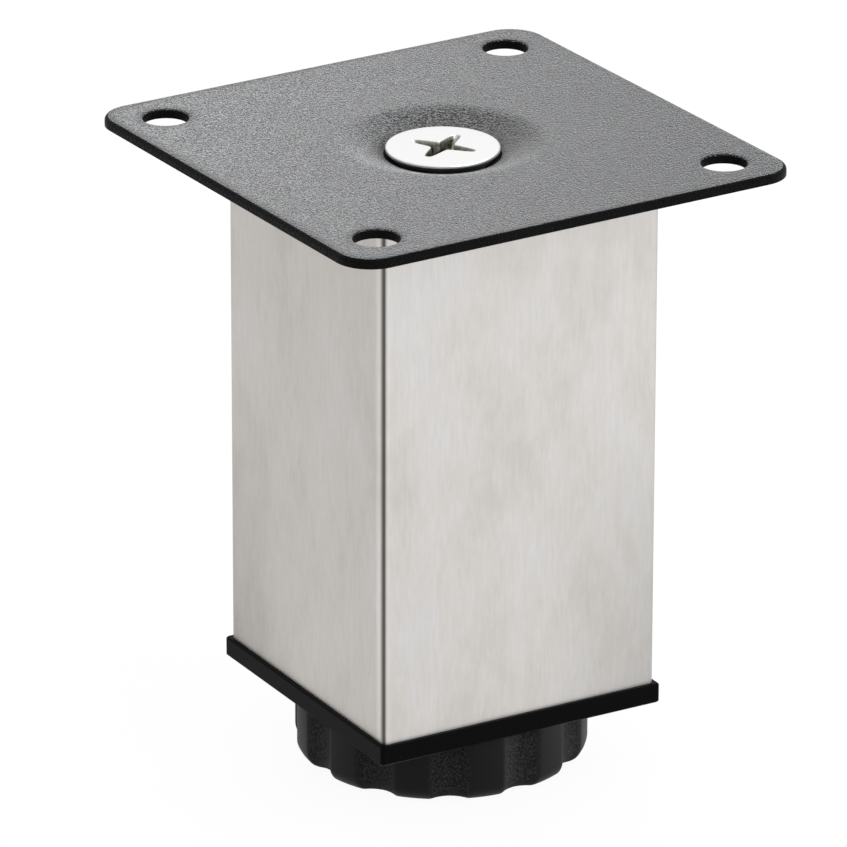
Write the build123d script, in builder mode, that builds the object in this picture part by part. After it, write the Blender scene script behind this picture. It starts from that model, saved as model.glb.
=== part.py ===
from build123d import *
import math
import os

os.makedirs("parts", exist_ok=True)

# Square table leg with a levelling foot, in millimetres and degrees.
# Z = 0 is the floor under the foot, and X and Y run along the sides of the top plate.

# Tube
tube_side = 50.0
tube_wall = 1.0
tube_corner = 0.8
tube_bore_corner = 0.3
tube_length = 88.0
tube_turn = -1.9  # one screw holds the plate, so it sits a little round from the tube

# Top plate
plate_side = 81.5
plate_thickness = 1.5
plate_corner = 6.0
plate_edge_round = 0.7
plate_hole_inset = 8.75  # from the plate's side to a hole's centre
plate_hole_d = 7.3

# Dish pressed into the plate for the head of its screw
dish_outer_r = 17.3
dish_slope = 20.0
dish_bend_r = 8.0  # from the flat plate into the dish
countersink_gap = 0.25  # round the head's rim, on the radius

# Countersunk plate screw
screw_d = 10.0
screw_length = 25.0
screw_tip_chamfer = 1.0
head_d = 18.3
head_rim = 0.65
head_stand = 1.43  # from the bottom of the dish up to the top of the head
head_edge_chamfer = 0.15
head_turn = 32.5

# Cross recess in the head
recess_span = 11.0
recess_depth = 4.2
recess_wing = 1.8
recess_bottom_d = 3.4
recess_corner = 1.5

# Hexagon nuts
nut_flats = 17.0
nut_height = 8.0
nut_face_d = 16.2
nut_bevel_angle = 30.0
nut_countersink = 0.6

# Plastic inserts in the two ends of the tube
insert_wall = 1.6
insert_web = 1.6
insert_rib_height = 0.6
insert_rib_width = 1.2
insert_rib_pitch = 13.0
insert_ribs = 3
insert_boss_d = 24.0
insert_corner = 0.6
plug_height = 23.0
plug_top_wall = 4.8
plug_nut_depth = 10.0
cap_skirt_height = 22.0

# Flange of the bottom cap
flange_overhang = 0.8
flange_thickness = 3.3
flange_corner = 0.6
flange_edge_chamfer = 0.25

# Lobed foot knob
knob_r = 23.85
knob_height = 11.5
knob_edge_r = 3.0
knob_top_chamfer = 0.4
knob_lobes = 12
knob_flute_width = 7.1
knob_flute_depth = 1.35
knob_turn = 1.4
knob_floor = 2.5
knob_recess_r = 15.0
knob_recess_depth = 0.8

# Stud of the foot
stud_d = 10.0
stud_length = 50.0
stud_collar_d = 16.0
stud_collar_height = 3.0
stud_end_chamfer = 1.0

# Clearances
running_gap = 0.05  # shaft in its hole, on the radius
seat_gap = 0.05  # nut in its pocket, insert in the tube, head in its countersink
dish_gap = 0.3  # plug under the dish
foot_gap = 0.3  # knob screwed home under the flange
through_gap = 0.5  # screw or stud through a plain hole, on the radius

# Heights and widths that follow from the sizes above
flange_bottom = knob_height + foot_gap
tube_bottom = flange_bottom + flange_thickness
tube_top = tube_bottom + tube_length
plate_top = tube_top + plate_thickness
dish_bend = math.radians(dish_slope)
countersink_r = head_d / 2 + countersink_gap
dish_depth = (dish_outer_r - countersink_r) * math.tan(dish_bend) - dish_bend_r * (1 / math.cos(dish_bend) - 1)
dish_bottom = plate_top - dish_depth
head_top = dish_bottom + head_stand
head_rim_bottom = head_top - head_rim
plug_bottom = tube_top - plug_height
plug_nut_top = tube_top - plug_nut_depth
foot_nut_bottom = flange_bottom + seat_gap
screw_end = head_top - screw_length
stud_bottom = knob_floor
stud_top = stud_bottom + stud_length

tube_bore = tube_side - 2 * tube_wall
insert_side = tube_bore - 2 * seat_gap
skirt_side = insert_side - 2 * insert_rib_height
flange_side = tube_side + 2 * flange_overhang
plate_hole_spacing = plate_side - 2 * plate_hole_inset
screw_r = screw_d / 2
stud_r = stud_d / 2
leg_plane = Plane.XY.rotated((0, 0, tube_turn))

# The head's 45 degree cone bears on the lip of the hole at the bottom of the countersink.
plate_bore_r = screw_r + through_gap
countersink_bottom = head_rim_bottom - (head_d / 2 - plate_bore_r) - seat_gap * math.sqrt(2)
countersink_bend = math.atan2(dish_bottom - countersink_bottom, countersink_r - plate_bore_r)


def dish_side(below):
    """Draws the half section of the countersink and the dish at a depth under their top face.

    It returns the line that starts at the screw's hole and the arc that starts at the flat plate.
    """
    lip_out = below * math.sin(countersink_bend)
    lip_down = below * math.cos(countersink_bend)
    corner_share = below / (1 + math.cos(countersink_bend - dish_bend))
    corner_out = corner_share * (math.sin(countersink_bend) + math.sin(dish_bend))
    corner_down = corner_share * (math.cos(countersink_bend) + math.cos(dish_bend))
    rim = CenterArc((dish_outer_r, plate_top - dish_bend_r), dish_bend_r - below, 90, dish_slope)
    cones = Polyline(
        (plate_bore_r + lip_out, countersink_bottom - lip_down),
        (countersink_r + corner_out, dish_bottom - corner_down),
        rim @ 1,
    )
    return cones, rim


def add_insert_skirt(low, high):
    """Adds the square skirt with crush ribs, cross webs and round boss of a tube insert."""
    hollow = skirt_side - 2 * insert_wall
    with BuildSketch(leg_plane.offset(low)) as skirt:
        Rectangle(skirt_side, skirt_side)
        with GridLocations(insert_rib_pitch, 0, insert_ribs, 1):
            Rectangle(insert_rib_width, insert_side)
        with GridLocations(0, insert_rib_pitch, 1, insert_ribs):
            Rectangle(insert_side, insert_rib_width)
        Rectangle(hollow, hollow, mode=Mode.SUBTRACT)
        Rectangle(insert_web, hollow + insert_wall)
        Rectangle(hollow + insert_wall, insert_web)
        Circle(insert_boss_d / 2)
    extrude(skirt.sketch, amount=high - low)


def cut_round_hole(low, high, radius):
    with BuildSketch(Plane.XY.offset(low)) as hole:
        Circle(radius)
    extrude(hole.sketch, amount=high - low, mode=Mode.SUBTRACT)


def cut_nut_pocket(low, high):
    with BuildSketch(leg_plane.offset(low)) as pocket:
        RegularPolygon(nut_flats / 2 + seat_gap, 6, major_radius=False)
    extrude(pocket.sketch, amount=high - low, mode=Mode.SUBTRACT)


# Square tube, open at both ends
with BuildPart() as leg_tube:
    with BuildSketch(leg_plane.offset(tube_bottom)):
        RectangleRounded(tube_side, tube_side, tube_corner)
        RectangleRounded(tube_bore, tube_bore, tube_bore_corner, mode=Mode.SUBTRACT)
    extrude(amount=tube_length)

leg_tube.part.label = "leg_tube"
export_step(leg_tube.part, "parts/leg_tube.step")

# Top plate: a flat sheet with the dish formed in its middle
with BuildPart() as top_plate:
    with BuildSketch(Plane.XY.offset(tube_top)):
        RectangleRounded(plate_side, plate_side, plate_corner)
        Circle(dish_outer_r, mode=Mode.SUBTRACT)
        with GridLocations(plate_hole_spacing, plate_hole_spacing, 2, 2):
            Circle(plate_hole_d / 2, mode=Mode.SUBTRACT)
    extrude(amount=plate_thickness)
    plate_face = top_plate.faces().sort_by(Axis.Z)[-1]
    fillet(plate_face.outer_wire().edges(), plate_edge_round)
    with BuildSketch(Plane.XZ):
        with BuildLine():
            upper_cones, upper_rim = dish_side(0)
            lower_cones, lower_rim = dish_side(plate_thickness)
            Line(upper_cones @ 0, lower_cones @ 0)
            Line(upper_rim @ 0, lower_rim @ 0)
        make_face()
    revolve(axis=Axis.Z)

top_plate.part.label = "top_plate"
export_step(top_plate.part, "parts/top_plate.step")

# The screw's cross recess: a cross of four wings inside a cone that narrows downwards
with BuildPart() as recess_tool:
    with BuildSketch(Plane.XY.rotated((0, 0, head_turn)).offset(head_top - recess_depth)) as recess_cross:
        Rectangle(recess_span, recess_wing)
        Rectangle(recess_wing, recess_span)
        corner_reach = recess_wing / 2 * math.sqrt(2) + seat_gap
        inner_corners = [v for v in recess_cross.vertices() if math.hypot(v.X, v.Y) < corner_reach]
        fillet(inner_corners, recess_corner)
    extrude(amount=recess_depth + head_rim)
    with BuildSketch(Plane.XZ):
        with BuildLine():
            Polyline(
                (0, head_top - recess_depth),
                (recess_bottom_d / 2, head_top - recess_depth),
                (recess_span / 2, head_top),
                (recess_span / 2, head_top + head_rim),
                (0, head_top + head_rim),
                close=True,
            )
        make_face()
    revolve(axis=Axis.Z, mode=Mode.INTERSECT)

# Countersunk screw that pulls the plate and the plug together
with BuildPart() as plate_screw:
    with BuildSketch(Plane.XZ):
        with BuildLine():
            Polyline(
                (0, head_top),
                (head_d / 2, head_top),
                (head_d / 2, head_rim_bottom),
                (screw_r, head_rim_bottom - (head_d / 2 - screw_r)),
                (screw_r, screw_end + screw_tip_chamfer),
                (screw_r - screw_tip_chamfer, screw_end),
                (0, screw_end),
                close=True,
            )
        make_face()
    revolve(axis=Axis.Z)
    chamfer(plate_screw.faces().sort_by(Axis.Z)[-1].edges(), head_edge_chamfer)
    add(recess_tool.part, mode=Mode.SUBTRACT)

plate_screw.part.label = "plate_screw"
export_step(plate_screw.part, "parts/plate_screw.step")

# Plug in the top of the tube, with a seat for the dish and a pocket for the screw's nut
with BuildPart() as top_plug:
    with BuildSketch(leg_plane.offset(tube_top - plug_top_wall)):
        Rectangle(insert_side, insert_side)
    extrude(amount=plug_top_wall)
    chamfer(top_plug.edges().filter_by(Axis.Z), insert_corner)
    add_insert_skirt(plug_bottom, tube_top - plug_top_wall)
    with BuildSketch(Plane.XZ):
        with BuildLine():
            seat_cones, seat_rim = dish_side(plate_thickness + dish_gap)
            Polyline(
                seat_cones @ 0,
                (0, (seat_cones @ 0).Z),
                (0, tube_top),
                (dish_outer_r, tube_top),
                seat_rim @ 0,
            )
        make_face()
    revolve(axis=Axis.Z, mode=Mode.SUBTRACT)
    cut_round_hole(plug_bottom, tube_top, screw_r + through_gap)
    cut_nut_pocket(plug_bottom, plug_nut_top)

top_plug.part.label = "top_plug"
export_step(top_plug.part, "parts/top_plug.step")

# Cap in the bottom of the tube, with the flange that the tube stands on
with BuildPart() as bottom_cap:
    with BuildSketch(leg_plane.offset(flange_bottom)):
        RectangleRounded(flange_side, flange_side, flange_corner)
    extrude(amount=flange_thickness)
    flange_faces = bottom_cap.faces().sort_by(Axis.Z)
    chamfer(flange_faces[0].edges() + flange_faces[-1].edges(), flange_edge_chamfer)
    add_insert_skirt(tube_bottom, tube_bottom + cap_skirt_height)
    cut_round_hole(flange_bottom, tube_bottom + cap_skirt_height, stud_r + through_gap)
    cut_nut_pocket(flange_bottom, foot_nut_bottom + nut_height)

bottom_cap.part.label = "bottom_cap"
export_step(bottom_cap.part, "parts/bottom_cap.step")


def add_nut(low, bore_r):
    """Adds a hexagon nut with bevelled corners and a countersunk bore, from its lower face up."""
    high = low + nut_height
    corner_r = nut_flats / math.sqrt(3)
    face_r = nut_face_d / 2
    bevel_drop = (corner_r - face_r) * math.tan(math.radians(nut_bevel_angle))
    with BuildSketch(leg_plane.offset(low)) as hexagon:
        RegularPolygon(nut_flats / 2, 6, major_radius=False)
    extrude(hexagon.sketch, amount=nut_height)
    with BuildSketch(Plane.XZ) as half_section:
        with BuildLine():
            Polyline(
                (bore_r, low + nut_countersink),
                (bore_r + nut_countersink, low),
                (face_r, low),
                (corner_r, low + bevel_drop),
                (corner_r, high - bevel_drop),
                (face_r, high),
                (bore_r + nut_countersink, high),
                (bore_r, high - nut_countersink),
                close=True,
            )
        make_face()
    revolve(half_section.sketch, axis=Axis.Z, mode=Mode.INTERSECT)


# Nut for the plate screw, pulled up against the plug
with BuildPart() as top_nut:
    add_nut(plug_nut_top - nut_height, screw_r + running_gap)

top_nut.part.label = "top_nut"
export_step(top_nut.part, "parts/top_nut.step")

# Nut in which the foot's stud turns, pushed up into the cap
with BuildPart() as foot_nut:
    add_nut(foot_nut_bottom, stud_r + running_gap)

foot_nut.part.label = "foot_nut"
export_step(foot_nut.part, "parts/foot_nut.step")

# Stud of the foot, with a round collar that the knob is moulded round
with BuildPart() as foot_stud:
    with BuildSketch(Plane.XZ):
        with BuildLine():
            Polyline(
                (0, stud_bottom),
                (stud_collar_d / 2, stud_bottom),
                (stud_collar_d / 2, stud_bottom + stud_collar_height),
                (stud_r, stud_bottom + stud_collar_height),
                (stud_r, stud_top - stud_end_chamfer),
                (stud_r - stud_end_chamfer, stud_top),
                (0, stud_top),
                close=True,
            )
        make_face()
    revolve(axis=Axis.Z)

foot_stud.part.label = "foot_stud"
export_step(foot_stud.part, "parts/foot_stud.step")

# One flute of the knob: a circle carried down the knob's side and in under its rounded edge,
# where it fades out at the foot's face
flute_r = (knob_flute_width**2 / 4 + knob_flute_depth**2) / (2 * knob_flute_depth)
flute_centre_r = knob_r - knob_flute_depth + flute_r
flute_bend_r = knob_edge_r + flute_r
flute_top = knob_height + knob_top_chamfer
with BuildPart() as flute_tool:
    with BuildLine(Plane.XZ):
        Line((flute_centre_r, flute_top), (flute_centre_r, knob_edge_r))
        CenterArc((flute_centre_r - flute_bend_r, knob_edge_r), flute_bend_r, 0, -90)
    with BuildSketch(Plane.XY.offset(flute_top)):
        with Locations((flute_centre_r, 0)):
            Circle(flute_r)
    sweep()

# Foot knob, hollowed for the stud's collar and recessed underneath
with BuildPart() as foot_knob:
    with BuildSketch(Plane.XY):
        Circle(knob_r)
    extrude(amount=knob_height)
    fillet(foot_knob.faces().sort_by(Axis.Z)[0].edges(), knob_edge_r)
    chamfer(foot_knob.faces().sort_by(Axis.Z)[-1].edges(), knob_top_chamfer)
    with PolarLocations(0, knob_lobes, start_angle=knob_turn):
        add(flute_tool.part, mode=Mode.SUBTRACT)
    cut_round_hole(0, knob_recess_depth, knob_recess_r)
    cut_round_hole(stud_bottom, knob_height, stud_r + running_gap)
    collar_top = stud_bottom + stud_collar_height + running_gap
    cut_round_hole(stud_bottom, collar_top, stud_collar_d / 2 + running_gap)

foot_knob.part.label = "foot_knob"
export_step(foot_knob.part, "parts/foot_knob.step")
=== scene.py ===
import math

import bmesh
import bpy
import numpy as np
from mathutils import Matrix, Vector


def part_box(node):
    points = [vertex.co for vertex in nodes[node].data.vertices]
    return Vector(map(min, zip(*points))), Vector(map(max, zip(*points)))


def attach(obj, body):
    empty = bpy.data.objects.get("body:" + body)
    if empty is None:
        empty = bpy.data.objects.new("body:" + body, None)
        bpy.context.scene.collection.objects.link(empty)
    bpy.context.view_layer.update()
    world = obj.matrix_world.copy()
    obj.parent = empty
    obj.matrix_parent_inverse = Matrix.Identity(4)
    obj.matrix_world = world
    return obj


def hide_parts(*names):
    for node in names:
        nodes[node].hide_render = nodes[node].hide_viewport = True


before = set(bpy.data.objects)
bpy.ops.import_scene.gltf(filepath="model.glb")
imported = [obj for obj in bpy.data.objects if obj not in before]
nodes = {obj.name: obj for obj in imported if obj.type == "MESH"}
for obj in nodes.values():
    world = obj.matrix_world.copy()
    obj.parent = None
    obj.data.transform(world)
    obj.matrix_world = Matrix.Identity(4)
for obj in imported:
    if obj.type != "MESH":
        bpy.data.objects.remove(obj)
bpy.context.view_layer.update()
print("frame loaded:", len(nodes), "nodes")

mm = 0.001
fullTurn = 2 * math.pi


# Camera, from the fitted view of the tube's and plate's edges
cameraView = {
    "azimuth": -31.95,  # degrees, as the two angles below
    "elevation": 21.89,
    "roll": 0.124,
    "distance": 1327 * mm,
    "aimAcross": -2.96 * mm,
    "aimHeight": 56.27 * mm,
    "focalPixels": 8286,
    "imagePixels": 847,  # side of the square photo
    "sensor": 36.0,  # width in millimetres, as Blender takes it
    "nearest": 0.05,
    "farthest": 20,
}


def makeCamera(view):
    azimuth = math.radians(view["azimuth"])
    elevation = math.radians(view["elevation"])
    roll = math.radians(view["roll"])
    back = Vector((
        math.sin(azimuth) * math.cos(elevation),
        -math.cos(azimuth) * math.cos(elevation),
        math.sin(elevation),
    ))
    levelRight = Vector((0, 0, 1)).cross(back).normalized()
    levelUp = back.cross(levelRight)
    right = math.cos(roll) * levelRight + math.sin(roll) * levelUp
    up = -math.sin(roll) * levelRight + math.cos(roll) * levelUp
    aim = Vector((0, 0, view["aimHeight"])) + view["aimAcross"] * levelRight
    data = bpy.data.cameras.new("photoCamera")
    data.sensor_width = view["sensor"]
    data.lens = view["focalPixels"] * view["sensor"] / view["imagePixels"]
    data.clip_start = view["nearest"]
    data.clip_end = view["farthest"]
    camera = bpy.data.objects.new("photoCamera", data)
    turn = Matrix((right, up, back)).transposed().to_4x4()
    camera.matrix_world = Matrix.Translation(aim + back * view["distance"]) @ turn
    bpy.context.scene.collection.objects.link(camera)
    bpy.context.scene.camera = camera


makeCamera(cameraView)
bpy.context.scene.view_settings.view_transform = "Standard"
print("camera placed")


# Node helpers for the materials
def newMaterial(name):
    material = bpy.data.materials.new(name)
    material.use_nodes = True
    tree = material.node_tree
    shader = tree.nodes["Principled BSDF"]
    coords = tree.nodes.new("ShaderNodeTexCoord").outputs["Object"]
    return material, tree, shader, coords


# A value is linked where it comes from a node, and otherwise set on the socket itself
def setInputs(tree, node, inputs):
    for key, value in inputs.items():
        socket = node.inputs[key]
        if isinstance(value, bpy.types.NodeSocket):
            tree.links.new(value, socket)
        else:
            socket.default_value = value


def addNode(tree, kind, inputs=None, **settings):
    made = tree.nodes.new(kind)
    for key, value in settings.items():
        setattr(made, key, value)
    setInputs(tree, made, inputs or {})
    return made


# Its scale is in features for each metre, and a stretch under 1 draws them out along that axis
def noise(tree, coords, scale, detail, roughness, stretch=(1, 1, 1)):
    mapped = addNode(tree, "ShaderNodeMapping", {"Vector": coords, "Scale": stretch})
    made = addNode(
        tree, "ShaderNodeTexNoise",
        {"Vector": mapped.outputs[0], "Scale": scale, "Detail": detail, "Roughness": roughness},
    )
    return made.outputs["Fac"]


def attribute(tree, name):
    return addNode(tree, "ShaderNodeAttribute", attribute_name=name).outputs["Fac"]


def grey(level):
    return (level, level, level)


def opaque(colour):
    return (*colour, 1)


# Colours at their places along a value, blended between them
def ramp(tree, value, stops):
    made = addNode(tree, "ShaderNodeValToRGB", {"Fac": value})
    elements = made.color_ramp.elements
    while len(elements) < len(stops):
        elements.new(0.5)
    for element, (place, colour) in zip(elements, stops):
        element.position = place
        element.color = opaque(colour)
    return made.outputs["Color"]


def mapRange(tree, value, source, target=(0.0, 1.0)):
    made = addNode(tree, "ShaderNodeMapRange", {
        "Value": value, "From Min": source[0], "From Max": source[1],
        "To Min": target[0], "To Max": target[1],
    })
    return made.outputs["Result"]


def mathNode(tree, operation, first, second):
    return addNode(tree, "ShaderNodeMath", {0: first, 1: second}, operation=operation).outputs[0]


def mixColour(tree, factor, first, second, blend="MIX"):
    made = addNode(
        tree, "ShaderNodeMix", {"Factor": factor, "A": first, "B": second},
        data_type="RGBA", blend_type=blend,
    )
    return made.outputs["Result"]


def shade(tree, colour, by):
    return mixColour(tree, 1.0, colour, by, "MULTIPLY")


def bump(tree, height, look):
    inputs = {"Height": height, "Strength": look["bumpStrength"], "Distance": look["bumpDepth"]}
    return addNode(tree, "ShaderNodeBump", inputs).outputs["Normal"]


# Plate paint: black powder coat with light flecks, pits and a sheen at low angles. Its flecks fade
# towards one side, as painted shade. The edges are painted shade: a dull black copy of the paint.
platePaint = {
    "colour": grey(0.003),
    "fleck": grey(0.46),
    "grain": {"scale": 3000, "detail": 3.0, "roughness": 0.6},
    "pits": {"scale": 2200, "detail": 2.0, "roughness": 0.5},
    "fleckRange": (0.44, 0.62),  # of the grain
    "roughRange": (0.35, 0.65),  # of the grain
    "pitRange": (0.36, 0.44),
    "pitHeight": 0.7,  # beside the grain's height of 1
    "bumpStrength": 1.0,
    "bumpDepth": 0.3 * mm,
    "roughness": (0.28, 0.5),
    "specular": 0.22,
    "sheen": 0.95,
    "sheenRoughness": 0.22,
    # Painted shade: on one side the flecks fade to this share, where the light falls darker
    "shadedSideShare": 0.05,  # of the flecks, on the dull side
    "shadedSide": (0.85, -0.5, 0),
    "shadedSideReach": 45 * mm,
}
# Painted shade for the rolled edges, hole rims and countersink: a dull black copy of the paint
plateShadedEdge = {
    **platePaint,
    "fleck": grey(0.006),
    "specular": 0.03,
    "sheen": 0.03,
}


def makePlatePaint(name, paint):
    material, tree, shader, coords = newMaterial(name)
    grain = noise(tree, coords, **paint["grain"])
    pits = mapRange(tree, noise(tree, coords, **paint["pits"]), paint["pitRange"])
    # Painted shade: the flecks fade towards one side
    place = addNode(
        tree, "ShaderNodeVectorMath", {0: coords, 1: paint["shadedSide"]}, operation="DOT_PRODUCT",
    )
    reach = paint["shadedSideReach"]
    share = mapRange(tree, place.outputs["Value"], (-reach, reach), (1.0, paint["shadedSideShare"]))
    share = mathNode(tree, "MULTIPLY", share, pits)
    # Painted shade: the flecks fade out towards the edges, hole rims and countersink
    clear = mathNode(tree, "SUBTRACT", 1.0, attribute(tree, "edgeShade"))
    share = mathNode(tree, "MULTIPLY", share, clear)
    low, high = paint["fleckRange"]
    fleck = ramp(tree, grain, [(low, paint["colour"]), (high, paint["fleck"])])
    height = mathNode(tree, "ADD", grain, mathNode(tree, "MULTIPLY", pits, paint["pitHeight"]))
    setInputs(tree, shader, {
        "Base Color": mixColour(tree, share, opaque(paint["colour"]), fleck),
        "Roughness": mapRange(tree, grain, paint["roughRange"], paint["roughness"]),
        "Specular IOR Level": paint["specular"],
        "Sheen Weight": paint["sheen"],
        "Sheen Roughness": paint["sheenRoughness"],
        "Normal": bump(tree, height, paint),
    })
    return material


# Tube metal: fine brushing along the tube and cloudy patches, with painted shade low down and away
# from the front corner. Down that corner runs a painted dark reflection between two painted
# highlights.
tubeMetal = {
    "turn": 1.9,  # degrees that square the pattern to the tube's sides
    "brushing": {"scale": 1700, "detail": 5.0, "roughness": 0.75, "stretch": (1, 1, 0.13)},
    "streakTones": [(0.35, grey(0.92)), (0.65, grey(1.0))],
    "bumpStrength": 0.15,
    "bumpDepth": 0.01 * mm,
    "clouds": {"scale": 80, "detail": 8.0, "roughness": 0.7, "stretch": (1, 1, 0.5)},
    "cloudTones": [
        (0.36, (0.652, 0.619, 0.584)),  # dull
        (0.5, (0.708, 0.675, 0.636)),  # warm
        (0.64, (0.725, 0.698, 0.677)),  # cool
    ],
    "metallic": 0.85,
    "roughness": 0.45,
    # Painted shade: the colour's share low down, away from the front corner
    "lowShadeLevel": 0.7,  # low down, away from the front corner
    "lowShadeReach": 16 * mm,
    "lowShadeHeights": (8 * mm, 62 * mm),  # full below the first, gone above the second
    "cornerReach": 2.4 * mm,  # of the lines beside the corner
    # Distance from the corner's middle as a share of that reach, and the painted brightness there
    "cornerLines": [
        (-0.83, 0.80), (-0.48, 1.0), (-0.34, 0.90), (-0.17, 0.30), (-0.06, 0.13), (0.01, 0.13),
        (0.12, 0.75), (0.2, 0.87), (0.4, 0.80),
    ],
}


def makeTubeMetal(metal):
    material, tree, shader, coords = newMaterial("tubeMetal")
    brushing = noise(tree, coords, **metal["brushing"])
    clouds = noise(tree, coords, **metal["clouds"])
    streaks = ramp(tree, brushing, metal["streakTones"])
    colour = shade(tree, ramp(tree, clouds, metal["cloudTones"]), streaks)
    # Turned by an eighth, the front corner lies on the negative y axis, so x is the distance from
    # its middle there, and behind the x axis it is made too large to count
    eighthTurn = 45  # degrees
    tooLarge = 1000
    turn = (0, 0, math.radians(metal["turn"] + eighthTurn))
    turned = addNode(tree, "ShaderNodeMapping", {"Vector": coords, "Rotation": turn})
    x, y, z = addNode(tree, "ShaderNodeSeparateXYZ", {0: turned.outputs[0]}).outputs
    behind = mathNode(tree, "MULTIPLY", mathNode(tree, "MAXIMUM", y, 0.0), tooLarge)
    # Painted reflection: a dark line down the front corner between two light ones
    reach = metal["cornerReach"]
    place = mapRange(tree, mathNode(tree, "ADD", x, behind), (-reach, reach))
    lines = [((share + 1) / 2, grey(level)) for share, level in metal["cornerLines"]]
    colour = shade(tree, colour, ramp(tree, place, lines))
    # Painted shade: darker low down and away from the front corner
    away = mapRange(tree, y, (-metal["lowShadeReach"], 0.0))
    low = mapRange(tree, z, metal["lowShadeHeights"], (1.0, 0.0))
    share = mathNode(tree, "MULTIPLY", away, low)
    lowShade = mapRange(tree, share, (0.0, 1.0), (1.0, metal["lowShadeLevel"]))
    setInputs(tree, shader, {
        "Base Color": shade(tree, colour, lowShade),
        "Metallic": metal["metallic"],
        "Roughness": metal["roughness"],
        "Normal": bump(tree, brushing, metal),
    })
    return material


# Bright zinc, with a dark olive where the piece's own mark is high: olive deposit and painted shade
brightZinc = {
    "colour": (0.93, 0.93, 0.925),
    "deposit": (0.10, 0.09, 0.045),
    "patches": {"scale": 1100, "detail": 3.0, "roughness": 0.6},
    "patchRange": (0.38, 0.58),
    "patchShare": (0.6, 1.0),  # of the deposit
    "metallic": 1.0,
    "roughness": 0.36,
}


def makeBrightZinc(zinc):
    material, tree, shader, coords = newMaterial("brightZinc")
    patches = noise(tree, coords, **zinc["patches"])
    patches = mapRange(tree, patches, zinc["patchRange"], zinc["patchShare"])
    share = mathNode(tree, "MULTIPLY", attribute(tree, "deposit"), patches)
    setInputs(tree, shader, {
        "Base Color": mixColour(tree, share, opaque(zinc["colour"]), opaque(zinc["deposit"])),
        "Metallic": zinc["metallic"],
        "Roughness": zinc["roughness"],
    })
    return material


# Black plastic: smooth, but grained where the piece's own "grained" attribute is high
blackPlastic = {
    "grain": {"scale": 3000, "detail": 4.0, "roughness": 0.7},
    "fleckRange": (0.44, 0.68),  # of the grain
    "smoothShare": 0.15,  # of the grain's height, left where it is smooth
    "bumpStrength": 0.6,
}
capPlastic = {
    **blackPlastic,
    "colour": (0.0015, 0.0015, 0.0016),
    "fleck": grey(0.003),
    "specular": 0.03,
    "roughness": (0.40, 0.55),  # smooth and grained
    "bumpDepth": 0.03 * mm,
}
knobPlastic = {
    **blackPlastic,
    "colour": (0.004, 0.004, 0.0043),
    "fleck": grey(0.03),
    "specular": 0.1,
    "roughness": (0.48, 0.8),
    "bumpDepth": 0.14 * mm,
}


def makeBlackPlastic(name, plastic):
    material, tree, shader, coords = newMaterial(name)
    grained = attribute(tree, "grained")
    grain = noise(tree, coords, **plastic["grain"])
    share = mathNode(tree, "MULTIPLY", mapRange(tree, grain, plastic["fleckRange"]), grained)
    rise = mathNode(tree, "ADD", grained, plastic["smoothShare"])
    setInputs(tree, shader, {
        "Base Color": mixColour(tree, share, opaque(plastic["colour"]), opaque(plastic["fleck"])),
        "Roughness": mapRange(tree, grained, (0.0, 1.0), plastic["roughness"]),
        "Specular IOR Level": plastic["specular"],
        "Normal": bump(tree, mathNode(tree, "MULTIPLY", grain, rise), plastic),
    })
    return material


def dress(nodeName, material):
    mesh = nodes[nodeName].data
    mesh.materials.clear()
    mesh.materials.append(material)


dress("leg_tube", makeTubeMetal(tubeMetal))
zincFinish = makeBrightZinc(brightZinc)
for name in ("top_nut", "foot_nut"):
    dress(name, zincFinish)
capFinish = makeBlackPlastic("capPlastic", capPlastic)
for name in ("bottom_cap", "top_plug"):
    dress(name, capFinish)
print("materials made")


mergeDistance = 0.002 * mm  # joins the grids where their edges meet
fullMark = 0.99  # a mark counts as full from here


# Mesh from grids of points. The rows run along the shape. The columns go once round it, or
# stop at the last where the grid is open. A mark is a value for each point of each grid.
def gridMesh(name, grids, mark, marks):
    corners = []
    faces = []
    count = 0
    for grid, isOpen in grids:
        rows, columns = grid.shape[:2]
        index = count + np.arange(rows * columns).reshape(rows, columns)
        following = np.roll(index, -1, axis=1)
        quads = np.stack((index[:-1], following[:-1], following[1:], index[1:]), axis=-1)
        if isOpen:
            quads = quads[:, :-1]
        corners.append(grid.reshape(-1, 3))
        faces.append(quads.reshape(-1, 4))
        count += rows * columns
    mesh = bpy.data.meshes.new(name)
    mesh.from_pydata(np.concatenate(corners).tolist(), [], np.concatenate(faces).tolist())
    if mark:
        values = np.concatenate([value.reshape(-1) for value in marks]).astype(np.float32)
        mesh.attributes.new(mark, "FLOAT", "POINT").data.foreach_set("value", values)
    work = bmesh.new()
    work.from_mesh(mesh)
    bmesh.ops.remove_doubles(work, verts=work.verts, dist=mergeDistance)
    bmesh.ops.recalc_face_normals(work, faces=work.faces)
    work.to_mesh(mesh)
    work.free()
    return mesh


# The second material goes on the faces whose corners are all marked
def setSecondMaterial(mesh, mark):
    marked = np.zeros(len(mesh.vertices), dtype=np.float32)
    mesh.attributes[mark].data.foreach_get("value", marked)
    cornerVertices = np.zeros(len(mesh.loops), dtype=np.int32)
    mesh.loops.foreach_get("vertex_index", cornerVertices)
    starts = np.zeros(len(mesh.polygons), dtype=np.int32)
    mesh.polygons.foreach_get("loop_start", starts)
    least = np.minimum.reduceat(marked[cornerVertices], starts)
    mesh.polygons.foreach_set("material_index", (least > fullMark).astype(np.int32))


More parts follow.
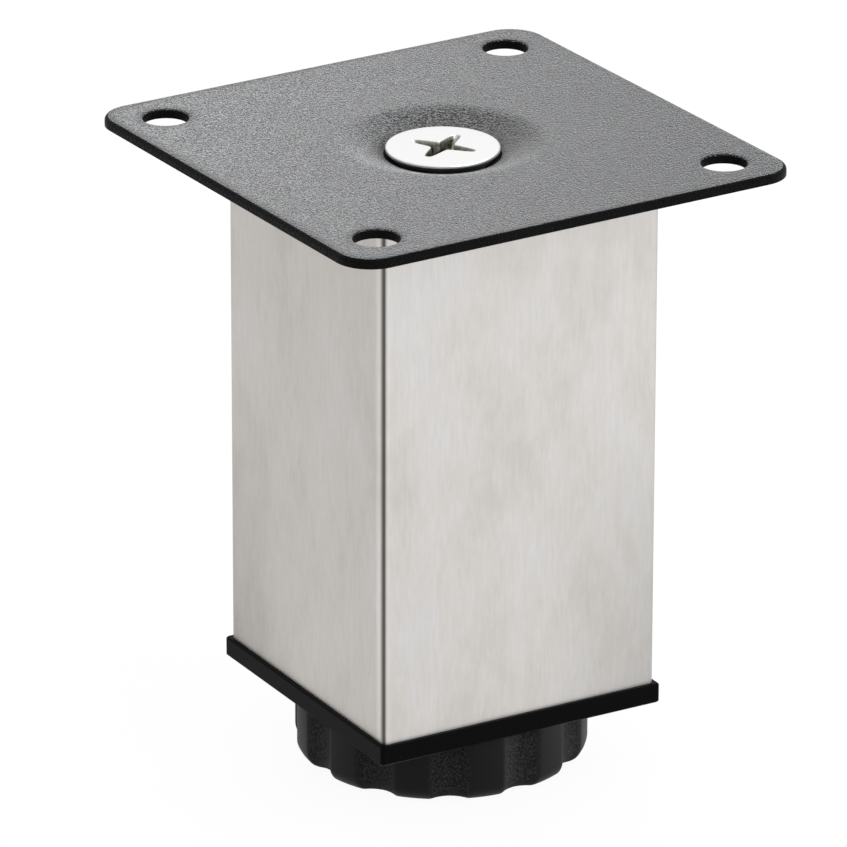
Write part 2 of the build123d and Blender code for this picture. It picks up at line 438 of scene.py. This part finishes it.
def makePiece(name, grids, materials, body, nodeName, sharpAngle, mark=None, marks=None):
    mesh = gridMesh(name, grids, mark, marks)
    mesh.shade_smooth()
    mesh.set_sharp_from_angle(angle=math.radians(sharpAngle))
    for material in materials:
        mesh.materials.append(material)
    if len(materials) > 1:
        setSecondMaterial(mesh, mark)
    piece = bpy.data.objects.new(name, mesh)
    bpy.context.scene.collection.objects.link(piece)
    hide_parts(nodeName)
    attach(piece, body)
    print(name, "made:", len(mesh.polygons), "faces")
    return piece


def anglesRound(columns):
    return np.arange(columns) * fullTurn / columns


# Point grid of a turned shape: each row has its radius at every angle and its height
def turnedGrid(radius, height, angle):
    radius, height, angle = np.broadcast_arrays(radius, height, angle)
    return np.stack((radius * np.cos(angle), radius * np.sin(angle), height), axis=-1)


# Radius and height at every angle, from pairs of the two, each for one row or for several
def spreadRows(pairs, angle):
    spread = [np.broadcast_arrays(radius, height, angle[None, :]) for radius, height in pairs]
    radii, heights, _ = zip(*spread)
    return np.concatenate(radii), np.concatenate(heights)


def turnedRows(pairs, angle):
    return turnedGrid(*spreadRows(pairs, angle), angle)


# Top plate: a pressed sheet with rolled edges, soft hole rims and the dish for the screw
plateShape = {
    "thickness": 1.5 * mm,
    "cornerRadius": 6.0 * mm,
    "edgeRound": 0.7 * mm,
    "holeInset": 8.75 * mm,
    "holeRadius": 3.65 * mm,
    "holeRound": 0.5 * mm,
    "dishOuter": 17.3 * mm,
    "dishSlope": 20.0,  # degrees
    "dishBend": 8.0 * mm,
    "boreRadius": 5.5 * mm,
    "lipRadius": 9.4 * mm,
    "lipRound": 0.5 * mm,
    "countersinkDepth": 2.94 * mm,  # from the bottom of the dish down to the bore's edge
    # Painted shade: the paint turns dull black on these shares of the roundings and in the
    # countersink, and darkens towards them over the fade
    "darkEdge": 0.9,  # share of the edge's rounding that is fully dark
    "darkRim": 0.3,  # share of the hole rim's rounding that is fully dark
    "edgeFade": 1.6 * mm,  # over which the paint darkens towards an edge
    "sharpAngle": 38,  # degrees
    "sideSteps": 48,
    "cornerSteps": 24,
    "edgePoints": 8,
    "rimPoints": 6,
    "lipPoints": 6,
    "conePoints": 6,
    "bendPoints": 9,
    "dishBlend": 3,  # rows between the dish and its cell's border
    "holeBlend": 5,
}


# Points of the plan pulled in by a margin and rounded at the plate's corners: the last stretch
# before each side is scaled, and points past a corner's centre are put on its arc. An outline is
# the margin, where that stretch starts, half the plate's side and its corner radius.
def pullIn(x, y, outline):
    margin, start, half, cornerRadius = outline
    scale = (half - margin - start) / (half - start)
    across, along = (
        np.where(place > start, start + (place - start) * scale, place)
        for place in (np.abs(x), np.abs(y))
    )
    centre = half - cornerRadius
    pastX, pastY = across - centre, along - centre
    inCorner = (pastX > 0) & (pastY > 0)
    length = np.where(inCorner, np.hypot(pastX, pastY), 1.0)
    stretch = (cornerRadius - margin) / length
    across = np.where(inCorner, centre + pastX * stretch, across)
    along = np.where(inCorner, centre + pastY * stretch, along)
    return np.sign(x) * across, np.sign(y) * along


# Points once round a square of half side 1, with equal steps along each side
def squareLoop(steps):
    run = np.linspace(-1, 1, steps, endpoint=False)
    ones = np.ones(steps)
    x = np.concatenate((ones, -run, -ones, run))
    y = np.concatenate((run, ones, -run, -ones))
    return x, y


# Square cell round a hole: rows are circles that follow a profile of radius and height, and then
# blend evenly from the last circle to the cell's border
def cellGrid(centreX, centreY, half, profile, steps, blendRows, outline):
    x, y = squareLoop(steps)
    length = np.hypot(x, y)
    rings = np.array(profile)
    ringX = centreX + rings[:, :1] * x / length
    ringY = centreY + rings[:, :1] * y / length
    edgeX, edgeY = pullIn(centreX + half * x, centreY + half * y, outline)
    share = np.linspace(0, 1, blendRows + 1)[1:, None]
    blendX = ringX[-1:] * (1 - share) + edgeX * share
    blendY = ringY[-1:] * (1 - share) + edgeY * share
    planX = np.concatenate((ringX, blendX))
    planY = np.concatenate((ringY, blendY))
    height = np.concatenate((rings[:, 1], np.full(blendRows, rings[-1, 1])))
    return np.stack((planX, planY, np.broadcast_to(height[:, None], planX.shape)), axis=-1)


# Profile of the countersink and the dish at a depth under their top face: a steep cone and a
# shallow one that meet at the lip, and an arc up to the flat plate. Under the top face each cone is
# moved square to itself by the depth, and the lip to where the moved cones meet.
def dishProfile(shape, top, below):
    slope = math.radians(shape["dishSlope"])
    bend = shape["dishBend"]
    run = shape["dishOuter"] - shape["lipRadius"]
    lip = top - run * math.tan(slope) + bend * (1 / math.cos(slope) - 1)
    steep = math.atan2(shape["countersinkDepth"], shape["lipRadius"] - shape["boreRadius"])
    bore = (
        shape["boreRadius"] + below * math.sin(steep),
        lip - shape["countersinkDepth"] - below * math.cos(steep),
    )
    shift = below / (1 + math.cos(steep - slope))
    lipOut = shape["lipRadius"] + shift * (math.sin(steep) + math.sin(slope))
    lipHeight = lip - shift * (math.cos(steep) + math.cos(slope))
    soft = shape["lipRound"] * (below == 0)  # the lip is soft on the upper face only
    reach = soft * math.tan((steep - slope) / 2)
    turn = np.linspace(steep, slope, shape["lipPoints"])
    lipArc = np.stack((
        lipOut + reach * math.cos(slope) + soft * (math.sin(slope) - np.sin(turn)),
        lipHeight + reach * math.sin(slope) - soft * (math.cos(slope) - np.cos(turn)),
    ), axis=-1)
    turn = np.linspace(slope, 0, shape["bendPoints"])
    bendArc = np.stack((
        shape["dishOuter"] - (bend - below) * np.sin(turn),
        top - bend + (bend - below) * np.cos(turn),
    ), axis=-1)
    share = np.linspace(0, 1, shape["conePoints"])[1:-1, None]
    cone = lipArc[-1] + (bendArc[0] - lipArc[-1]) * share
    return np.concatenate(([bore], lipArc, cone, bendArc))


# Profile of a hole from the lower face up to its soft rim
def holeProfile(shape, top, bottom):
    radius, soft = shape["holeRadius"], shape["holeRound"]
    bend = np.linspace(math.pi / 2, 0, shape["rimPoints"])
    rim = np.stack((radius + soft * (1 - np.sin(bend)), top - soft * (1 - np.cos(bend))), axis=-1)
    return np.concatenate(([(radius, bottom)], rim))


# Corner cells with their holes and the flat stretches between them, on one face of the plate
def faceGrids(shape, height, profile, outline):
    start, half = outline[1:3]
    inset = shape["holeInset"]
    grids = []
    for signX in (-1, 1):
        for signY in (-1, 1):
            cell = cellGrid(
                signX * (half - inset), signY * (half - inset), inset, profile,
                shape["cornerSteps"], shape["holeBlend"], outline,
            )
            grids.append((cell, False))
    long = np.linspace(-start, start, shape["sideSteps"] + 1)
    short = np.linspace(start, half, shape["cornerSteps"] + 1)
    for sign in (-1, 1):
        x, y = pullIn(*np.meshgrid(sign * short, long), outline)
        flat = np.full(x.shape, height)
        grids.append((np.stack((x, y, flat), axis=-1), True))
        grids.append((np.stack((y, x, flat), axis=-1), True))
    return grids


# Rolled edge and side: one loop of outline points at each row's margin and height
def edgeGrid(shape, top, bottom, start, half):
    run = np.concatenate((
        np.linspace(-half, -start, shape["cornerSteps"], endpoint=False),
        np.linspace(-start, start, shape["sideSteps"], endpoint=False),
        np.linspace(start, half, shape["cornerSteps"], endpoint=False),
    ))
    side = np.full(run.shape, half)
    loopX = np.concatenate((side, -run, -side, run))
    loopY = np.concatenate((run, side, -run, -side))
    bend = np.linspace(0, math.pi / 2, shape["edgePoints"])
    margins = np.append(shape["edgeRound"] * (1 - np.sin(bend)), 0.0)
    heights = np.append(top - shape["edgeRound"] * (1 - np.cos(bend)), bottom)
    rows = []
    for margin, height in zip(margins, heights):
        x, y = pullIn(loopX, loopY, (margin, start, half, shape["cornerRadius"]))
        rows.append(np.stack((x, y, np.full(x.shape, height)), axis=-1))
    return np.stack(rows)


# Painted shade mark: 1 at points on the rolled edge, on the hole rims and in the countersink, and
# from there it falls evenly to 0 over a fade
def edgeShadePoints(grid, shape, half):
    across, along = np.abs(grid[..., 0]), np.abs(grid[..., 1])
    corner = half - shape["cornerRadius"]
    pastCorner = np.hypot(np.maximum(across - corner, 0), np.maximum(along - corner, 0))
    fromEdge = shape["cornerRadius"] - pastCorner - shape["darkEdge"] * shape["edgeRound"]
    holeCentre = half - shape["holeInset"]
    fromHole = np.hypot(across - holeCentre, along - holeCentre)
    fromRim = fromHole - shape["holeRadius"] - shape["darkRim"] * shape["holeRound"]
    fromLip = np.hypot(across, along) - shape["lipRadius"]
    nearest = np.minimum(np.minimum(fromEdge, fromRim), fromLip)
    return np.clip(1 - nearest / shape["edgeFade"], 0, 1)


def makePlate(shape):
    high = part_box("top_plate")[1]
    top, half = high.z, high.x
    bottom = top - shape["thickness"]
    start = half - 2 * shape["holeInset"]  # where the dish's cell ends and the corner cells begin
    plain = (0.0, start, half, shape["cornerRadius"])
    rolled = (shape["edgeRound"], *plain[1:])

    # Countersink and dish on both faces; the bore's edge joins them
    over = dishProfile(shape, top, 0)
    under = np.concatenate((over[:1], dishProfile(shape, top, shape["thickness"])))
    grids = []
    for profile in (under, over):
        cell = cellGrid(0, 0, start, profile, shape["sideSteps"], shape["dishBlend"], plain)
        grids.append((cell, False))

    # The holes' walls belong to the upper face, and the lower face starts from their edge
    hole = holeProfile(shape, top, bottom)
    grids += faceGrids(shape, bottom, hole[:1], plain)
    grids += faceGrids(shape, top, hole, rolled)
    grids.append((edgeGrid(shape, top, bottom, start, half), False))
    marks = [edgeShadePoints(grid, shape, half) for grid, _ in grids]
    finishes = [makePlatePaint("platePaint", platePaint), makePlatePaint("plateShadedEdge", plateShadedEdge)]
    makePiece(
        "pressedPlate", grids, finishes, body="leg", nodeName="top_plate",
        sharpAngle=shape["sharpAngle"], mark="edgeShade", marks=marks,
    )


makePlate(plateShape)


# M10 thread of the foot's stud and the plate's screw
threadShape = {
    "crest": 5.0 * mm,
    "depth": 0.92 * mm,
    "pitch": 1.5 * mm,
    "endChamfer": 1.0 * mm,
    # Share of the pitch, and of the depth above the root there
    "profile": [(0.0, 0.0), (0.12, 0.0), (0.44, 1.0), (0.56, 1.0), (0.88, 0.0)],
    "columns": 48,
}
threadRoot = threadShape["crest"] - threadShape["depth"]
threadTip = threadShape["crest"] - threadShape["endChamfer"]
threadAngle = anglesRound(threadShape["columns"])


# Screw thread: a height that climbs one pitch each turn, height = (row + angle / full turn) *
# pitch, with a radius that follows the profile over each pitch. Both ends are chamfered by 45
# degrees from a given radius.
def threadGrid(thread, angle, low, high, lowRadius, highRadius):
    share, rise = np.array(thread["profile"]).T
    turns = np.arange(-1, math.ceil((high - low) / thread["pitch"]) + 1)
    place = (turns[:, None] + share[None, :]).reshape(-1, 1)
    profile = thread["crest"] - thread["depth"] * (1 - np.tile(rise, len(turns)).reshape(-1, 1))
    height = low + thread["pitch"] * (place + angle[None, :] / fullTurn)
    height = np.clip(height, low, high)
    radius = np.minimum(profile, lowRadius + (height - low))
    radius = np.minimum(radius, highRadius + (high - height))
    return turnedGrid(radius, height, angle)


# Foot stud: the thread on the round collar that the knob is moulded round
studShape = {
    "collarHeight": 3.0 * mm,
    "sharpAngle": 28,  # degrees
}


def makeStud(shape):
    low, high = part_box("foot_stud")
    collarTop = low.z + shape["collarHeight"]
    collar = [(0, low.z), (high.x, low.z), (high.x, collarTop), (threadRoot, collarTop)]
    end = [(threadTip, high.z), (0, high.z)]
    grids = [
        (turnedRows(collar, threadAngle), False),
        (threadGrid(threadShape, threadAngle, collarTop, high.z, threadRoot, threadTip), False),
        (turnedRows(end, threadAngle), False),
    ]
    makePiece(
        "threadedStud", grids, [zincFinish], body="stud",
        nodeName="foot_stud", sharpAngle=shape["sharpAngle"],
    )


makeStud(studShape)


# Plate screw: a countersunk head with a cross recess, and a threaded shank
screwShape = {
    "turn": 32.5,  # of the recess, in degrees
    "rimHeight": 0.65 * mm,
    "rimRound": 0.45 * mm,
    "recessDepth": 4.0 * mm,
    "recessReach": 5.6 * mm,
    "recessTipWidth": 1.35 * mm,
    "recessMiddleWidth": 3.0 * mm,
    "bottomReach": 2.3 * mm,
    "bottomTipWidth": 0.9 * mm,
    "bottomMiddleWidth": 2.0 * mm,
    "lipRound": 0.25 * mm,
    # The recess walls take the olive deposit and painted shade, from this far down and within this
    # share of the head's radius
    "depositAndShadeReach": 0.45 * mm,  # how far down the recess the dull deposit sets in
    "depositShare": 0.8,  # of the head's radius, within which it lies
    "sharpAngle": 40,  # degrees
    "columns": 240,
    "crowding": 1.6,  # above 1, it draws the columns towards the wings' middles
    "wallPoints": 9,
    "facePoints": 6,
    "bendPoints": 7,
}


# Outline of the cross recess as a radius at each angle: every wing has straight sides that
# spread from its tip to the middle, and the wings are joined by a smooth maximum
def crossOutline(angle, reach, tipWidth, middleWidth):
    tipPower, joinPower = 8, 10  # the higher, the sharper the corners that they blend
    spread = (middleWidth - tipWidth) / 2 / reach
    wings = []
    for turn in (0.0, math.pi / 2):
        across = np.abs(np.sin(angle - turn))
        along = np.abs(np.cos(angle - turn))
        side = (middleWidth / 2) / (across + spread * along)
        cap = reach / np.maximum(along, 1e-6)
        wings.append((side**-tipPower + cap**-tipPower) ** (-1 / tipPower))
    return (wings[0]**joinPower + wings[1]**joinPower) ** (1 / joinPower)


def makeScrew(shape):
    low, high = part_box("plate_screw")
    top = high.z
    rim = high.x
    step = np.arange(shape["columns"]) / shape["columns"] * 4  # four wings, one each quarter
    quarter = np.floor(step)
    along = (step - quarter) * 2 - 1
    crowded = 0.5 * np.sign(along) * np.abs(along)**shape["crowding"]
    angle = (quarter + crowded) * math.pi / 2

    # Recess: rows go from its middle at the bottom up the walls to a rounded lip
    recessFloor = top - shape["recessDepth"]
    outline = crossOutline(
        angle, shape["recessReach"], shape["recessTipWidth"], shape["recessMiddleWidth"]
    )
    bottom = crossOutline(
        angle, shape["bottomReach"], shape["bottomTipWidth"], shape["bottomMiddleWidth"]
    )
    share = np.linspace(0, 1, shape["wallPoints"])[:, None]
    wall = bottom + (outline - bottom) * share
    wallHeight = recessFloor + (shape["recessDepth"] - shape["lipRound"]) * share
    bend = np.linspace(0, math.pi / 2, shape["bendPoints"])[1:, None]
    lip = outline + shape["lipRound"] * (1 - np.cos(bend))
    lipHeight = top - shape["lipRound"] * (1 - np.sin(bend))

    # Face, rounded rim and countersunk cone
    flatRim = rim - shape["rimRound"]
    share = np.linspace(0, 1, shape["facePoints"])[1:, None]
    face = lip[-1:] + (flatRim - lip[-1:]) * share
    edge = flatRim + shape["rimRound"] * np.sin(bend)
    edgeHeight = top - shape["rimRound"] * (1 - np.cos(bend))
    rimBottom = top - shape["rimHeight"]
    neck = rimBottom - (rim - threadRoot)
    head = [
        (0, recessFloor), (bottom / 2, recessFloor), (wall, wallHeight), (lip, lipHeight),
        (face, top), (edge, edgeHeight), (rim, rimBottom), (threadRoot, neck),
    ]
    radius, height = spreadRows(head, angle)
    end = [(0, low.z), (threadTip, low.z)]
    cover = [(threadRoot, neck), (0, neck)]  # closes the shank under the head
    grids = [
        (turnedGrid(radius, height, angle + math.radians(shape["turn"])), False),
        (threadGrid(threadShape, threadAngle, low.z, neck, threadTip, threadRoot), False),
        (turnedRows(end, threadAngle), False),
        (turnedRows(cover, threadAngle), False),
    ]
    # Mark for the olive deposit and painted shade down the recess
    sunk = np.clip((top - height) / shape["depositAndShadeReach"], 0, 1)
    marks = [sunk * (radius < rim * shape["depositShare"])]
    marks += [np.zeros(grid.shape[:2]) for grid, _ in grids[1:]]
    makePiece(
        "plateScrew", grids, [zincFinish], body="leg",
        nodeName="plate_screw", sharpAngle=shape["sharpAngle"], mark="deposit", marks=marks,
    )


makeScrew(screwShape)


# Foot knob: the flutes shift the rounded side inwards, and softened edges part them from the lands
knobShape = {
    "outerRadius": 23.85 * mm,
    "lobes": 12,
    "turn": 1.4,  # in degrees
    "fluteWidth": 7.1 * mm,
    "fluteDepth": 1.35 * mm,
    "edgeSoftness": 0.06 * mm,
    "footEdge": 3.0 * mm,
    "topEdge": 0.4 * mm,
    "recessRadius": 15.0 * mm,
    "recessDepth": 0.8 * mm,
    "bore": 5.05 * mm,
    "collarBore": 8.05 * mm,
    "collarTop": 5.55 * mm,
    "collarFloor": 2.5 * mm,
    "grainRise": 3,  # the grain is full at a third of the flutes' depth
    "sharpAngle": 40,  # degrees
    "columns": 32,  # for each lobe
    "footPoints": 9,
    "topPoints": 5,
}


# Depth of the flutes at each angle: from the land in to a circle's near side, where a ray meets
# it, and joined to the land by a smooth maximum of that depth and 0
def fluteDepth(angle, shape):
    outer, width, depth = shape["outerRadius"], shape["fluteWidth"], shape["fluteDepth"]
    fluteRadius = (width**2 / 4 + depth**2) / (2 * depth)
    centre = outer - depth + fluteRadius
    lobe = fullTurn / shape["lobes"]
    offset = (angle + lobe / 2) % lobe - lobe / 2
    inside = fluteRadius**2 - (centre * np.sin(offset))**2
    near = centre * np.cos(offset) - np.sqrt(np.maximum(inside, 0))
    gap = outer - near
    soft = shape["edgeSoftness"]
    return np.where(inside > 0, (gap + np.sqrt(gap**2 + 4 * soft**2)) / 2, 0)


def makeKnob(shape):
    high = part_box("foot_knob")[1]
    angle = anglesRound(shape["columns"] * shape["lobes"])
    depth = fluteDepth(angle, shape)
    outer, edge, topEdge = shape["outerRadius"], shape["footEdge"], shape["topEdge"]
    bend = np.linspace(math.pi / 2, 0, shape["footPoints"])[:, None]
    side = outer - edge + edge * np.cos(bend) - depth
    sideHeight = edge - edge * np.sin(bend)
    bend = np.linspace(0, math.pi / 2, shape["topPoints"])[:, None]
    rim = outer - topEdge + topEdge * np.cos(bend) - depth
    rimHeight = high.z - topEdge + topEdge * np.sin(bend)
    section = [
        (0, shape["recessDepth"]), (shape["recessRadius"], shape["recessDepth"]),
        (shape["recessRadius"], 0), (side, sideHeight), (rim, rimHeight),
        (shape["bore"], high.z), (shape["bore"], shape["collarTop"]),
        (shape["collarBore"], shape["collarTop"]), (shape["collarBore"], shape["collarFloor"]),
        (0, shape["collarFloor"]),
    ]
    radius, height = spreadRows(section, angle)
    grid = turnedGrid(radius, height, angle + math.radians(shape["turn"]))
    fluted = np.clip(depth / shape["fluteDepth"] * shape["grainRise"], 0, 1)
    grained = fluted * (height < high.z) * (radius > 0)
    finish = makeBlackPlastic("knobPlastic", knobPlastic)
    return makePiece(
        "footKnob", [(grid, False)], [finish], body="knob",
        nodeName="foot_knob", sharpAngle=shape["sharpAngle"], mark="grained", marks=[grained],
    )


knobPiece = makeKnob(knobShape)


# Stage: a pale floor and a plain soft studio
stageLook = {
    "floorSize": 6.0,
    "floorGap": 0.02 * mm,  # keeps the floor clear of the knob's foot
    "floorColour": grey(0.86),
    "floorRoughness": 0.9,
    "floorGlow": 0.94,  # share of plain white in view and in reflections
    "worldLevel": 0.9,
}
white = opaque(grey(1))


# 1 for the rays of view, of reflections and of transmission, which find plain white
def sightRays(tree):
    path = addNode(tree, "ShaderNodeLightPath")
    sight = mathNode(tree, "MAXIMUM", path.outputs["Is Camera Ray"], path.outputs["Is Glossy Ray"])
    return mathNode(tree, "MAXIMUM", sight, path.outputs["Is Transmission Ray"])


def mixShaders(tree, share, first, second, outputName):
    inputs = {0: share, 1: first.outputs[0], 2: second.outputs[0]}
    mixed = addNode(tree, "ShaderNodeMixShader", inputs)
    tree.links.new(mixed.outputs[0], tree.nodes[outputName].inputs["Surface"])


def makeFloor(look):
    half = look["floorSize"] / 2
    mesh = bpy.data.meshes.new("floor")
    low = -look["floorGap"]
    corners = [(-half, -half, low), (half, -half, low), (half, half, low), (-half, half, low)]
    mesh.from_pydata(corners, [], [(0, 1, 2, 3)])
    floor = bpy.data.objects.new("floor", mesh)
    bpy.context.scene.collection.objects.link(floor)
    material, tree, shader = newMaterial("floor")[:3]
    setInputs(tree, shader, {
        "Base Color": opaque(look["floorColour"]),
        "Roughness": look["floorRoughness"],
        "Specular IOR Level": 0.0,
    })
    glow = addNode(tree, "ShaderNodeEmission", {"Color": white, "Strength": 1.0})
    share = mathNode(tree, "MULTIPLY", sightRays(tree), look["floorGlow"])
    mixShaders(tree, share, shader, glow, "Material Output")
    mesh.materials.append(material)


def makeWorld(look):
    world = bpy.data.worlds.new("studio")
    world.use_nodes = True
    bpy.context.scene.world = world
    tree = world.node_tree
    background = tree.nodes["Background"]
    setInputs(tree, background, {"Color": white, "Strength": look["worldLevel"]})
    glow = addNode(tree, "ShaderNodeBackground", {"Color": white, "Strength": 1.0})
    mixShaders(tree, sightRays(tree), background, glow, "World Output")


# Lamps, in metres and watts: a broad one from the front right, a broad one from behind that
# lights without a highlight, and two small ones low at the sides that light the knob alone
studioLamps = {
    "rightSoftbox": {
        "place": (0.42, -0.72, 0.355), "aim": (0, 0, 0.1), "size": (1.0, 0.7),
        "watts": 6.0, "colour": (0.88, 0.93, 1.0), "inGloss": True, "receiver": None,
    },
    "rearSoftbox": {
        "place": (0.45, 0.85, 0.36), "aim": (0, 0, 0.1), "size": (1.4, 0.4),
        "watts": 11.0, "colour": grey(1), "inGloss": False, "receiver": None,
    },
    "rightStrip": {
        "place": (0.7, -0.22, 0.05), "aim": (0, 0, 0.01), "size": (0.14, 0.08),
        "watts": 3.4, "colour": grey(1), "inGloss": True, "receiver": knobPiece,
    },
    "leftStrip": {
        "place": (-0.65, 0.3, 0.05), "aim": (0, 0, 0.01), "size": (0.14, 0.08),
        "watts": 1.2, "colour": grey(1), "inGloss": True, "receiver": knobPiece,
    },
}


def makeLamp(name, look):
    data = bpy.data.lights.new(name, "AREA")
    data.shape = "RECTANGLE"
    data.size, data.size_y = look["size"]
    data.energy = look["watts"]
    data.color = look["colour"]
    lamp = bpy.data.objects.new(name, data)
    lamp.location = look["place"]
    direction = Vector(look["aim"]) - Vector(look["place"])
    lamp.rotation_euler = direction.to_track_quat("-Z", "Y").to_euler()
    lamp.visible_glossy = look["inGloss"]
    bpy.context.scene.collection.objects.link(lamp)
    if look["receiver"]:
        group = bpy.data.collections.new(name + "Receiver")
        group.objects.link(look["receiver"])
        lamp.light_linking.receiver_collection = group


makeFloor(stageLook)
makeWorld(stageLook)
for name, look in studioLamps.items():
    makeLamp(name, look)
print("stage and lamps made")
